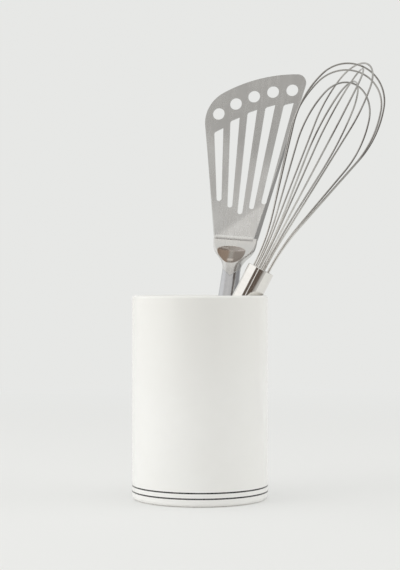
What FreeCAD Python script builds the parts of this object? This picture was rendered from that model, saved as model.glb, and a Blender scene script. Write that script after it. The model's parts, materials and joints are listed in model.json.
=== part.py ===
import FreeCAD, Part
import math
import os

# Utensil crock holding a slotted turner and a balloon whisk.
# Millimetres, +Z up, origin at the centre of the crock's foot.

# Crock: one fired piece, turned about the Z axis
crock_height = 143.0
crock_diameter = 96.0
lip_wall = 3.8
base_wall = 7.0
floor_thickness = 6.0
floor_corner_radius = 6.0
heel_radius = 2.5
foot_ring_width = 6.0
foot_recess = 1.5
foot_pad_diameter = 26.0

# Gaps: a utensil at rest beside the crock, and a seated piece in its bore
rest_clearance = 0.3
seat_clearance = 0.05
cut_overrun = 1.0

# Whisk: tube handle, end cap and hanging loop
whisk_azimuth = -3.0
whisk_tube_diameter = 19.4
whisk_tube_wall = 0.9
whisk_tube_length = 148.0
whisk_tube_edge = 0.6
whisk_cap_height = 6.0
whisk_cap_spigot = 8.0
whisk_loop_rod = 2.8
whisk_loop_bend = 6.0
whisk_loop_leg = 12.4
whisk_loop_seat = 9.0

# Whisk: plug that holds the wires, and six wire loops nested in one another
plug_length = 24.0
plug_recess = 0.6
wire_diameter = 1.3
wire_ring_radius = 6.0
wire_seat = 16.0
wire_root_flare = 150.0
balloon_crown_drop = 2.4
balloon_shoulder_extra = 42.0
# One entry for each loop: reach above the tube, bulge, and the turns where its two sides leave the plug
wire_reaches = (159.1, 145.1, 146.9, 157.3, 161.8, 154.1)
wire_bulges = (29.2, 26.7, 29.3, 29.4, 25.5, 29.0)
wire_turns = (16.3, 33.3, 76.7, 103.3, 125.9, 174.1)
wire_back_turns = (190.9, 222.4, 251.9, 272.5, 294.9, 337.4)

# Turner: hollow handle, end cap and hanging loop
turner_azimuth = 57.4
turner_facing = -12.0
turner_foot_offset = 5.7
handle_width = 14.6
handle_depth = 9.5
handle_wall = 0.9
handle_length = 143.0
handle_flare_length = 24.0
vee_depth = 5.2
tang_length = 22.0
turner_cap_height = 4.0
turner_cap_edge = 1.6
turner_cap_spigot = 9.0
turner_loop_rod = 2.4
turner_loop_bend = 4.3
turner_loop_leg = 6.9
turner_loop_seat = 3.4

# Turner: shoulder and neck, from the crease down to the handle
shoulder_width = 32.8
shoulder_thickness = 1.4
shoulder_length = 24.5
shoulder_straight = 3.0
neck_width = 13.4
neck_depth = 8.6
shoulder_round_share = 0.6
shoulder_station_shares = (0.0, 0.14, 0.32, 0.5, 0.68, 0.84, 1.0)
dish_side = -1.6
dish_drop = 9.8
dish_half_width = 10.0
dish_rise = 3.0
dish_fall = 10.1
dish_depth = 2.5
dish_radius = 9.0

# Turner: stamped blade above the crease
blade_thickness = 1.2
blade_root_near = 13.7
blade_root_far = 15.6
blade_flare_near = 12.5
blade_flare_far = 11.5
blade_bend = 5.0
tip_arc_radius = 109.3
tip_arc_side = 38.0
tip_arc_height = 16.0
near_corner_radius = 6.5
far_corner_radius = 25.0
flange_depth = 3.2
flange_splay_near = 2.6
flange_splay_far = 1.5
bead_width = 4.4
bead_height = 0.45
bead_drop = 1.1
bead_inset = 0.5

# Turner: a fan of drain holes and slots, its outer rows set in from the blade's sides
drain_count = 5
hole_diameter = 8.9
hole_inset = 12.0
hole_edge_near = 8.4
hole_edge_far = 11.0
slot_foot_edge_near = 1.6
slot_foot_edge_far = 5.4
slot_inset = 22.2
slot_top_width = 7.0
slot_top_slant = 24.0
slot_foot_width = 3.8
slot_foot_height = 17.6
slot_foot_step = 4.3
slot_corner_radius = 2.2

crock_radius = crock_diameter / 2
lip_radius = lip_wall / 2
whisk_tube_radius = whisk_tube_diameter / 2
whisk_bore_radius = whisk_tube_radius - whisk_tube_wall
wire_radius = wire_diameter / 2
blade_half = blade_thickness / 2
up = FreeCAD.Vector(0, 0, 1)
across = FreeCAD.Vector(1, 0, 0)
inward = FreeCAD.Vector(0, 1, 0)


def upright(x, z):
    """Point of a profile drawn in the XZ plane."""
    return FreeCAD.Vector(x, 0, z)


def line(start, end):
    return Part.LineSegment(start, end).toShape()


def arc(start, middle, end):
    return Part.Arc(start, middle, end).toShape()


def arc_about(centre, radius, start_angle, end_angle):
    """Arc in the XZ plane about a centre, angles in radians from +X towards +Z."""
    angles = (start_angle, (start_angle + end_angle) / 2, end_angle)
    points = [centre + upright(radius * math.cos(a), radius * math.sin(a)) for a in angles]
    return arc(*points)


def prism(edges, depth_start, depth_end):
    """Solid drawn in the XZ plane and stretched along Y."""
    face = Part.Face(Part.Wire(edges))
    face.translate(inward * depth_start)
    return face.extrude(inward * (depth_end - depth_start))


def revolved(edges):
    return Part.Face(Part.Wire(edges)).revolve(FreeCAD.Vector(), up, 360)


def rod_along(edges, radius):
    """Round rod swept along a path that starts straight up or down."""
    path = Part.Wire(edges)
    start = path.OrderedVertexes[0].Point
    section = Part.Wire(Part.makeCircle(radius, start, up))
    return path.makePipeShell([section], True, False)


def rod_at(x, y, z, radius, length):
    return Part.makeCylinder(radius, length, FreeCAD.Vector(x, y, z), up)


def hanging_loop(rod, bend, leg):
    """U-bent rod: the bend is centred on the origin, the legs rise to the given height."""
    edges = [
        line(upright(-bend, leg), upright(-bend, 0)),
        arc(upright(-bend, 0), upright(0, -bend), upright(bend, 0)),
        line(upright(bend, 0), upright(bend, leg)),
    ]
    return rod_along(edges, rod / 2)


def obround(half_width, half_depth, z):
    """Closed wire, flat front and back with full-round sides, level at z."""
    run = half_width - half_depth
    front_left = FreeCAD.Vector(-run, -half_depth, z)
    front_right = FreeCAD.Vector(run, -half_depth, z)
    back_right = FreeCAD.Vector(run, half_depth, z)
    back_left = FreeCAD.Vector(-run, half_depth, z)
    return Part.Wire([
        line(front_left, front_right),
        arc(front_right, FreeCAD.Vector(half_width, 0, z), back_right),
        line(back_right, back_left),
        arc(back_left, FreeCAD.Vector(-half_width, 0, z), front_left),
    ])


def obround_bar(half_width, half_depth, z_start, z_end):
    face = Part.Face(obround(half_width, half_depth, z_start))
    return face.extrude(up * (z_end - z_start))


def leaning_pose(azimuth, spin, foot_radius, foot_height, side_reach):
    """Pose of a utensil whose side rests on the rounded lip, and its lean in degrees."""
    run = crock_radius - lip_radius - foot_radius
    rise = crock_height - lip_radius - foot_height
    offset = side_reach + lip_radius + rest_clearance
    lean = math.degrees(math.atan2(run, rise) - math.asin(offset / math.hypot(run, rise)))
    turn = FreeCAD.Rotation(up, azimuth)
    tilt = FreeCAD.Rotation(inward, lean)
    foot = turn.multVec(upright(foot_radius, foot_height))
    rotation = turn.multiply(tilt).multiply(FreeCAD.Rotation(up, spin))
    return FreeCAD.Placement(foot, rotation), lean


def placed(shape, pose):
    shape.Placement = pose.multiply(shape.Placement)
    return shape


def crock():
    """Straight-sided pot: foot ring and middle pad, wall that thins upward, full-round lip."""
    base_radius = crock_radius - base_wall
    lip_inner = crock_radius - lip_wall
    lip_height = crock_height - lip_radius
    ring_inner = crock_radius - heel_radius - foot_ring_width
    pad_radius = foot_pad_diameter / 2
    slope = math.atan2(lip_inner - base_radius, lip_height - floor_thickness)
    tangent = floor_corner_radius * math.tan((math.pi / 2 - slope) / 2)
    corner = upright(base_radius, floor_thickness)
    on_floor = corner - across * tangent
    on_wall = corner + upright(math.sin(slope), math.cos(slope)) * tangent
    bend_centre = on_floor + up * floor_corner_radius
    to_corner = (corner - bend_centre).normalize()
    heel_centre = upright(crock_radius - heel_radius, heel_radius)
    edges = [
        line(upright(0, 0), upright(pad_radius, 0)),
        line(upright(pad_radius, 0), upright(pad_radius + foot_recess, foot_recess)),
        line(upright(pad_radius + foot_recess, foot_recess), upright(ring_inner - foot_recess, foot_recess)),
        line(upright(ring_inner - foot_recess, foot_recess), upright(ring_inner, 0)),
        line(upright(ring_inner, 0), upright(crock_radius - heel_radius, 0)),
        arc_about(heel_centre, heel_radius, -math.pi / 2, 0),
        line(upright(crock_radius, heel_radius), upright(crock_radius, lip_height)),
        arc_about(upright(crock_radius - lip_radius, lip_height), lip_radius, 0, math.pi),
        line(upright(lip_inner, lip_height), on_wall),
        arc(on_wall, bend_centre + to_corner * floor_corner_radius, on_floor),
        line(on_floor, upright(0, floor_thickness)),
        line(upright(0, floor_thickness), upright(0, 0)),
    ]
    return revolved(edges)


# Whisk heights, counted along its axis from the centre of the loop's bend
whisk_tube_foot = whisk_loop_leg + whisk_cap_height
whisk_tube_top = whisk_tube_foot + whisk_tube_length
plug_top = whisk_tube_top - plug_recess


def whisk_handle():
    """Open tube with eased ends."""
    outer = Part.makeCylinder(whisk_tube_radius, whisk_tube_length, up * whisk_tube_foot)
    rims = [edge for edge in outer.Edges if edge.Closed and len(edge.Vertexes) == 1]
    outer = outer.makeFillet(min(whisk_tube_edge, whisk_tube_wall / 2), rims)
    bore = rod_at(0, 0, whisk_tube_foot - cut_overrun, whisk_bore_radius,
                  whisk_tube_length + 2 * cut_overrun)
    return outer.cut(bore)


def whisk_end_cap():
    """Domed cap with a spigot in the tube and two sockets for the loop's legs."""
    dome_radius = (whisk_tube_radius ** 2 + whisk_cap_height ** 2) / (2 * whisk_cap_height)
    dome_centre = upright(0, whisk_loop_leg + dome_radius)
    rim_angle = math.asin((whisk_tube_foot - dome_centre.z) / dome_radius)
    spigot_radius = whisk_bore_radius - seat_clearance
    spigot_top = whisk_tube_foot + whisk_cap_spigot
    rim = upright(whisk_tube_radius, whisk_tube_foot)
    edges = [
        arc_about(dome_centre, dome_radius, -math.pi / 2, rim_angle),
        line(rim, upright(spigot_radius, whisk_tube_foot)),
        line(upright(spigot_radius, whisk_tube_foot), upright(spigot_radius, spigot_top)),
        line(upright(spigot_radius, spigot_top), upright(0, spigot_top)),
        line(upright(0, spigot_top), upright(0, whisk_loop_leg)),
    ]
    cap = revolved(edges)
    socket_radius = whisk_loop_rod / 2 + seat_clearance
    socket_depth = whisk_loop_leg + whisk_loop_seat + seat_clearance
    for side in (-whisk_loop_bend, whisk_loop_bend):
        cap = cap.cut(rod_at(side, 0, 0, socket_radius, socket_depth))
    return cap


def whisk_hang_loop():
    return hanging_loop(whisk_loop_rod, whisk_loop_bend, whisk_loop_leg + whisk_loop_seat)


def whisk_head_plug():
    """Plug in the tube's mouth, drilled for both ends of every wire."""
    plug = rod_at(0, 0, plug_top - plug_length, whisk_bore_radius - seat_clearance, plug_length)
    depth = wire_seat + seat_clearance
    for turn in wire_turns + wire_back_turns:
        x = wire_ring_radius * math.cos(math.radians(turn))
        y = wire_ring_radius * math.sin(math.radians(turn))
        hole = rod_at(x, y, plug_top - depth, wire_radius + seat_clearance, depth + cut_overrun)
        plug = plug.cut(hole)
    return plug


def wire_side(reach, bulge):
    """One flat side of a loop below its crown, and the angle at which it meets the crown."""
    crown = bulge - balloon_crown_drop
    shoulder = bulge + balloon_shoulder_extra
    tip = whisk_tube_top + reach
    sink = math.sqrt((shoulder - crown) ** 2 - balloon_shoulder_extra ** 2)
    shoulder_centre = upright(-balloon_shoulder_extra, tip - crown - sink)
    flare_centre = upright(wire_ring_radius + wire_root_flare, whisk_tube_top)
    run = flare_centre.x - shoulder_centre.x
    rise = shoulder_centre.z - flare_centre.z
    radii = wire_root_flare + shoulder
    leg_angle = math.atan2(rise, run) - math.acos(radii / math.hypot(run, rise))
    crown_angle = math.atan2(sink, balloon_shoulder_extra)
    flare = arc_about(flare_centre, wire_root_flare, math.pi, math.pi - leg_angle)
    upper = arc_about(shoulder_centre, shoulder, -leg_angle, crown_angle)
    root = line(upright(wire_ring_radius, plug_top - wire_seat), flare.firstVertex().Point)
    leg = line(flare.lastVertex().Point, upper.firstVertex().Point)
    return [root, flare, leg, upper], crown_angle


def arc_leaving(start, direction, end):
    """Arc that leaves its start in a given direction and runs to its end."""
    chord = end - start
    along = chord * (1 / chord.Length)
    rise = direction - along * direction.dot(along)
    height = chord.Length / 2 * math.tan(math.acos(direction.dot(along)) / 2)
    return arc(start, (start + end) * 0.5 + rise.normalize() * height, end)


def wire_crown(start, start_run, end, end_run):
    """Two arcs that join both sides of a loop smoothly; the runs point up along the sides."""
    span = end - start
    lift = span.dot(start_run - end_run)
    spread = 2 * (1 + start_run.dot(end_run))
    reach = (math.sqrt(lift ** 2 + spread * span.dot(span)) - lift) / spread
    top = (start + end + (start_run + end_run) * reach) * 0.5
    return [arc_leaving(start, start_run, top), arc_leaving(end, end_run, top)]


def whisk_wire(reach, bulge, turn, back_turn):
    """One closed loop of spring wire, with both ends in the plug."""
    edges, crown_angle = wire_side(reach, bulge)
    flat_end = edges[-1].lastVertex().Point
    flat_run = upright(-math.sin(crown_angle), math.cos(crown_angle))
    sides = []
    ends = []
    runs = []
    for angle in (turn, back_turn):
        swing = FreeCAD.Rotation(up, angle)
        sides.append([edge.rotated(FreeCAD.Vector(), up, angle) for edge in edges])
        ends.append(swing.multVec(flat_end))
        runs.append(swing.multVec(flat_run))
    crown = wire_crown(ends[0], runs[0], ends[1], runs[1])
    return rod_along(sides[0] + crown + sides[1][::-1], wire_radius)


# Turner heights, counted along its axis from the centre of the loop's bend
handle_foot = turner_loop_leg + turner_cap_height
handle_top = handle_foot + handle_length
crease = handle_top + shoulder_length
flare_foot = handle_top - handle_flare_length


def handle_form(inset):
    """Outside of the handle, or its bore when inset by the wall."""
    half_width = handle_width / 2 - inset
    half_depth = handle_depth / 2 - inset
    grip = obround_bar(half_width, half_depth, handle_foot, flare_foot)
    lower = obround(half_width, half_depth, flare_foot)
    upper = obround(neck_width / 2 - inset, neck_depth / 2 - inset, handle_top)
    return grip.fuse(Part.makeLoft([lower, upper], True, True))


def vee_prism(drop):
    """Wedge through the handle's top: its point is on the axis, its corners at the sides."""
    half = neck_width / 2
    left = upright(-half, handle_top - drop)
    right = upright(half, handle_top - drop)
    point = upright(0, handle_top - drop - vee_depth)
    top = up * (drop + cut_overrun)
    edges = [line(left, point), line(point, right), line(right, right + top),
             line(right + top, left + top), line(left + top, left)]
    return prism(edges, -handle_depth, handle_depth)


def turner_handle():
    """Hollow handle that flares below the neck, with a vee notch front and back."""
    return handle_form(0).cut(handle_form(handle_wall)).cut(vee_prism(seat_clearance)).removeSplitter()


def turner_end_cap():
    """Plug in the handle's foot with a rounded end and two sockets for the loop's legs."""
    cap = obround_bar(handle_width / 2, handle_depth / 2, turner_loop_leg, handle_foot)
    ends = [edge for edge in cap.Edges if edge.BoundBox.ZMax < handle_foot - turner_cap_edge]
    cap = cap.makeFillet(turner_cap_edge, ends)
    inset = handle_wall + seat_clearance
    spigot = obround_bar(handle_width / 2 - inset, handle_depth / 2 - inset, handle_foot,
                         handle_foot + turner_cap_spigot)
    cap = cap.fuse(spigot)
    socket_radius = turner_loop_rod / 2 + seat_clearance
    socket_depth = turner_loop_leg + turner_loop_seat + seat_clearance
    for side in (-turner_loop_bend, turner_loop_bend):
        cap = cap.cut(rod_at(side, 0, 0, socket_radius, socket_depth))
    return cap


def turner_hang_loop():
    return hanging_loop(turner_loop_rod, turner_loop_bend, turner_loop_leg + turner_loop_seat)


def shoulder_half_width(below_crease):
    """Half width of the shoulder: straight, then a round turn in and a hollow turn to the neck."""
    fall = below_crease - shoulder_straight
    if fall <= 0:
        return shoulder_width / 2
    run = (shoulder_width - neck_width) / 2
    length = shoulder_length - shoulder_straight
    radii = length / math.sin(2 * math.atan2(run, length))
    round_radius = radii * shoulder_round_share
    hollow_radius = radii - round_radius
    if fall <= length * shoulder_round_share:
        return shoulder_width / 2 - round_radius + math.sqrt(round_radius ** 2 - fall ** 2)
    rest = length - fall
    return neck_width / 2 + hollow_radius - math.sqrt(hollow_radius ** 2 - rest ** 2)


def shoulder_half_depth(below_crease):
    """Half thickness of the shoulder: it swells evenly from the sheet to the neck."""
    share = below_crease / shoulder_length
    swell = share * share * (3 - 2 * share)
    return (shoulder_thickness + (neck_depth - shoulder_thickness) * swell) / 2


def thumb_dish():
    """Egg-shaped tool for the dish, set square to the shoulder's sloping front."""
    standoff = dish_radius - dish_depth
    opening_radius = math.sqrt(dish_radius ** 2 - standoff ** 2)
    halves = []
    for reach, low_angle, high_angle in ((dish_rise, 0, 90), (dish_fall, -90, 0)):
        half = Part.makeSphere(dish_radius, FreeCAD.Vector(), up, low_angle, high_angle)
        stretch = FreeCAD.Matrix()
        stretch.A11 = dish_half_width / opening_radius
        stretch.A33 = reach / opening_radius
        halves.append(half.transformGeometry(stretch))
    dish = halves[0].fuse(halves[1])
    swell = shoulder_half_depth(dish_drop + dish_fall) - shoulder_half_depth(dish_drop - dish_rise)
    slope = math.degrees(math.atan2(swell, dish_fall + dish_rise))
    dish.translate(inward * -standoff)
    dish.rotate(FreeCAD.Vector(), across, -slope)
    dish.translate(FreeCAD.Vector(dish_side, -shoulder_half_depth(dish_drop), crease - dish_drop))
    return dish


def shoulder():
    """Sheet that gathers from the crease into a thick neck, with a thumb dish in front."""
    sections = []
    for share in shoulder_station_shares:
        below = shoulder_length * share
        sections.append(obround(shoulder_half_width(below), shoulder_half_depth(below), crease - below))
    return Part.makeLoft(sections, True, False).cut(thumb_dish())


def tang():
    """Tongue inside the handle, with the vee point that shows in the notch."""
    inset = handle_wall + seat_clearance
    core = obround_bar(neck_width / 2 - inset, neck_depth / 2 - inset, handle_top - tang_length,
                       handle_top + cut_overrun)
    point = handle_form(0).common(vee_prism(0))
    return core.fuse(point)


def rounded_corner(centre, start, end):
    """Arc about a centre from start to end the short way round."""
    bisector = (start + end) * 0.5 - centre
    return arc(start, centre + bisector.normalize() * (start - centre).Length, end)


def tip_centre():
    return upright(tip_arc_side, tip_arc_height)


def tip_arc(start, end):
    """Arc concentric with the blade's tip, through both ends."""
    return rounded_corner(tip_centre(), start, end)


def blade_side(hand):
    """Root point, direction and inward normal of one long side; hand is 1 right or -1 left."""
    angle = math.radians(blade_flare_near if hand > 0 else blade_flare_far)
    root = upright(hand * (blade_root_near if hand > 0 else blade_root_far), 0)
    direction = upright(hand * math.sin(angle), math.cos(angle))
    side = upright(-hand * math.cos(angle), math.sin(angle))
    return root, direction, side


def inside_blade(hand, edge, inset):
    """Point of the blade at given distances from one long side and from the tip's arc."""
    root, direction, side = blade_side(hand)
    base = root + side * edge
    to_base = base - tip_centre()
    along = to_base.dot(direction)
    travel = -along + math.sqrt(along ** 2 - to_base.dot(to_base) + (tip_arc_radius - inset) ** 2)
    return base + direction * travel


def blade_corner(hand):
    """Centre and both ends of the round corner between a long side and the tip's arc."""
    radius = near_corner_radius if hand > 0 else far_corner_radius
    centre = inside_blade(hand, radius, radius)
    outward = (centre - tip_centre()).normalize()
    return centre, centre - blade_side(hand)[2] * radius, tip_centre() + outward * tip_arc_radius


def blade_sheet():
    """Fan-shaped sheet with a slanting round tip, drawn with the crease at zero height."""
    right_centre, right_side, right_tip = blade_corner(1)
    left_centre, left_side, left_tip = blade_corner(-1)
    right_crease = blade_side(1)[0]
    left_crease = blade_side(-1)[0]
    right_root = right_crease - up * (shoulder_thickness / 2)
    left_root = left_crease - up * (shoulder_thickness / 2)
    edges = [
        line(left_root, right_root),
        line(right_root, right_crease),
        line(right_crease, right_side),
        rounded_corner(right_centre, right_side, right_tip),
        tip_arc(right_tip, left_tip),
        rounded_corner(left_centre, left_tip, left_side),
        line(left_side, left_crease),
        line(left_crease, left_root),
    ]
    return prism(edges, -blade_half, blade_half)


def flange(hand):
    """Long side turned back for stiffness, fading out at the blade's corner."""
    end = blade_corner(hand)[1]
    root, direction, _ = blade_side(hand)
    full_splay = flange_splay_near if hand > 0 else flange_splay_far
    sections = []
    foot = -shoulder_thickness / 2
    for height, depth, splay in ((foot, flange_depth, full_splay), (end.z, blade_thickness, 0)):
        edge = (root + direction * (height / direction.z)).x
        out = edge + hand * splay
        inner = hand * blade_thickness
        back = depth - blade_half
        points = [
            FreeCAD.Vector(edge - inner, -blade_half, height),
            FreeCAD.Vector(edge, -blade_half, height),
            FreeCAD.Vector(out, back, height),
            FreeCAD.Vector(out - inner, back, height),
        ]
        sections.append(Part.makePolygon(points + points[:1]))
    return Part.makeLoft(sections, True, True)


def crease_bead():
    """Low rounded rib pressed across the foot of the blade."""
    half = bead_width / 2
    start = bead_inset - blade_root_far
    lower = FreeCAD.Vector(start, -blade_half, -bead_drop - half)
    upper = FreeCAD.Vector(start, -blade_half, -bead_drop + half)
    crown = FreeCAD.Vector(start, -blade_half - bead_height, -bead_drop)
    depth = inward * blade_half
    edges = [arc(lower, crown, upper), line(upper, upper + depth), line(upper + depth, lower + depth),
             line(lower + depth, lower)]
    return Part.Face(Part.Wire(edges)).extrude(across * (blade_root_near - bead_inset - start))


def slot_foot_level(step):
    """Height of a slot's foot; the feet rise from the middle row outwards."""
    return slot_foot_height + slot_foot_step * abs(step)


def outer_row(hand):
    """Centre of the outermost hole on one side, and the foot of the slot below it."""
    hole = inside_blade(hand, hole_edge_near if hand > 0 else hole_edge_far, hole_inset)
    root, direction, side = blade_side(hand)
    base = root + side * (slot_foot_edge_near if hand > 0 else slot_foot_edge_far)
    level = slot_foot_level((drain_count - 1) / 2)
    return hole, base + direction * ((level - base.z) / direction.z)


def fan_apex():
    """Point below the blade where the two outer rows, and so all rows, meet."""
    left_hole, left_foot = outer_row(-1)
    right_hole, right_foot = outer_row(1)
    left_slope = (left_hole.x - left_foot.x) / (left_hole.z - left_foot.z)
    right_slope = (right_hole.x - right_foot.x) / (right_hole.z - right_foot.z)
    drop = (right_foot.x - left_foot.x) / (right_slope - left_slope)
    return upright(left_foot.x - left_slope * drop, left_foot.z - drop)


def drain_rays():
    """Direction of each row of the fan, with its number counted from the middle row."""
    first = outer_row(-1)[0] - fan_apex()
    last = outer_row(1)[0] - fan_apex()
    first_angle = math.atan2(first.x, first.z)
    spread = math.atan2(last.x, last.z) - first_angle
    for row in range(drain_count):
        angle = first_angle + spread * row / (drain_count - 1)
        yield row - (drain_count - 1) / 2, upright(math.sin(angle), math.cos(angle))


def on_ray(direction, inset):
    """Point where a row's middle line meets the arc that lies inset from the tip."""
    from_centre = fan_apex() - tip_centre()
    along = from_centre.dot(direction)
    radius = tip_arc_radius - inset
    travel = -along + math.sqrt(along ** 2 - from_centre.dot(from_centre) + radius ** 2)
    return fan_apex() + direction * travel


def drain_hole(direction):
    centre = on_ray(direction, hole_inset) - inward * (blade_half + cut_overrun)
    return Part.makeCylinder(hole_diameter / 2, blade_thickness + 2 * cut_overrun, centre, inward)


def drain_slot(step, direction):
    """Tapered slot: round foot, slanting top with one soft and one crisp corner."""
    normal = upright(direction.z, -direction.x)
    apex = fan_apex()
    foot = apex + direction * ((slot_foot_level(step) - apex.z) / direction.z)
    foot_centre = foot + direction * (slot_foot_width / 2)
    top = on_ray(direction, slot_inset)
    left_foot = foot_centre - normal * (slot_foot_width / 2)
    right_foot = foot_centre + normal * (slot_foot_width / 2)
    rise = direction * (slot_top_width / 2 * math.tan(math.radians(slot_top_slant)))
    crisp_corner = top + normal * (slot_top_width / 2) + rise
    soft_corner = top - normal * (slot_top_width / 2) - rise
    down = (left_foot - soft_corner).normalize()
    along = (crisp_corner - soft_corner).normalize()
    half_angle = math.acos(down.dot(along)) / 2
    setback = slot_corner_radius / math.tan(half_angle)
    on_left = soft_corner + down * setback
    soft_end = soft_corner + along * setback
    centre = soft_corner + (down + along).normalize() * (slot_corner_radius / math.sin(half_angle))
    edges = [
        line(left_foot, on_left),
        rounded_corner(centre, on_left, soft_end),
        line(soft_end, crisp_corner),
        line(crisp_corner, right_foot),
        arc(right_foot, foot, left_foot),
    ]
    return prism(edges, -blade_half - cut_overrun, blade_half + cut_overrun)


def turner_blade():
    """Blade, shoulder, neck and tang: one stamped and drawn piece."""
    sheet = blade_sheet().multiFuse([flange(1), flange(-1), crease_bead()])
    drains = []
    for step, direction in drain_rays():
        drains.append(drain_hole(direction))
        drains.append(drain_slot(step, direction))
    sheet = sheet.cut(drains)
    sheet.rotate(FreeCAD.Vector(), across, blade_bend)
    sheet.translate(up * crease)
    return sheet.multiFuse([shoulder(), tang()]).removeSplitter()


def whisk_pieces():
    pieces = {
        "whisk_handle": whisk_handle(),
        "whisk_end_cap": whisk_end_cap(),
        "whisk_hang_loop": whisk_hang_loop(),
        "whisk_head_plug": whisk_head_plug(),
    }
    wires = zip(wire_reaches, wire_bulges, wire_turns, wire_back_turns)
    for number, wire in enumerate(wires, start=1):
        pieces[f"whisk_wire_{number}"] = whisk_wire(*wire)
    return pieces


def turner_pieces():
    return {
        "turner_blade": turner_blade(),
        "turner_handle": turner_handle(),
        "turner_end_cap": turner_end_cap(),
        "turner_hang_loop": turner_hang_loop(),
    }


def whisk_pose():
    """The whisk stands in the corner of the floor, across from the lip that it leans on."""
    loop_reach = whisk_loop_bend + whisk_loop_rod / 2 + rest_clearance
    foot_radius = loop_reach - (crock_radius - base_wall)
    return leaning_pose(whisk_azimuth, 0, foot_radius, floor_thickness + loop_reach, whisk_tube_radius)


def turner_pose():
    """The turner stands near the middle of the floor and leans back on the lip."""
    loop_reach = turner_loop_bend + turner_loop_rod / 2 + rest_clearance
    spin = turner_facing - turner_azimuth
    flat = abs(math.cos(math.radians(spin))) * (handle_width - handle_depth) / 2
    side_reach = flat + handle_depth / 2 + rest_clearance
    return leaning_pose(turner_azimuth, spin, turner_foot_offset, floor_thickness + loop_reach, side_reach)


def main():
    os.makedirs("parts", exist_ok=True)
    nodes = {"crock_body": crock()}
    for pieces, (pose, lean) in ((whisk_pieces(), whisk_pose()), (turner_pieces(), turner_pose())):
        print("lean", round(lean, 3), "axis", pose.Rotation.multVec(up), "foot", pose.Base)
        for name, shape in pieces.items():
            nodes[name] = placed(shape, pose)
    for name, shape in nodes.items():
        shape.exportStep(f"parts/{name}.step")
        print(name, shape.isValid(), len(shape.Solids), round(shape.Volume, 1))


main()
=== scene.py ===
import json
import logging
import math
from dataclasses import dataclass, field
from enum import Enum
from functools import cached_property

import bmesh
import bpy
from mathutils import Matrix, Quaternion, Vector


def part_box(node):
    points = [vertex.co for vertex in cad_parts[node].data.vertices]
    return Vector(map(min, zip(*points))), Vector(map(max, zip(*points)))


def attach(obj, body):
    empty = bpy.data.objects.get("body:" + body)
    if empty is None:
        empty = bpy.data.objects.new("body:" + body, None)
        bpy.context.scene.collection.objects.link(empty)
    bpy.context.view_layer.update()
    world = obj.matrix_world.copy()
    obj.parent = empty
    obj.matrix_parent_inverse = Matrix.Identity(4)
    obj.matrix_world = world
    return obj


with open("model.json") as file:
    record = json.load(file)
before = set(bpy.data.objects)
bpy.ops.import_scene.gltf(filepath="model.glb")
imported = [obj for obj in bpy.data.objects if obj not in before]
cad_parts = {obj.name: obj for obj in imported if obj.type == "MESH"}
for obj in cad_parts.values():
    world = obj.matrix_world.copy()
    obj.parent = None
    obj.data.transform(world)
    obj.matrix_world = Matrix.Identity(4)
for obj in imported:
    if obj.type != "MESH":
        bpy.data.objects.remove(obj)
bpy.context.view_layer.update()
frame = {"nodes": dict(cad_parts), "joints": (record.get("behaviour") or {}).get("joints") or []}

LOG = logging.getLogger("utensil_crock")
UP = Vector((0, 0, 1))
CARD_LIFT = 0.001

Colour = tuple[float, float, float]
Point = tuple[float, float, float]
Socket = bpy.types.NodeSocket


class Body(Enum):
    """Bodies of the frame that a piece can ride on."""

    CROCK = "crock"
    WHISK = "whisk"
    TURNER = "turner"


class Slot(Enum):
    """Names of the record's material slots."""

    GLAZE = "glaze"
    HANDLE = "handle_steel"
    PLUG = "plug_resin"


class Grain(Enum):
    """Which way the polishing lines of a steel piece run."""

    ALONG = "along its length"
    AROUND = "round its axis"


class Side(Enum):
    """Which side of its edge a patch lies on."""

    BELOW = "below"
    ABOVE = "above"


@dataclass(frozen=True)
class Layers:
    """How many finer layers a noise has, and how strong they are."""

    detail: float
    roughness: float = 0.5


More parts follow.
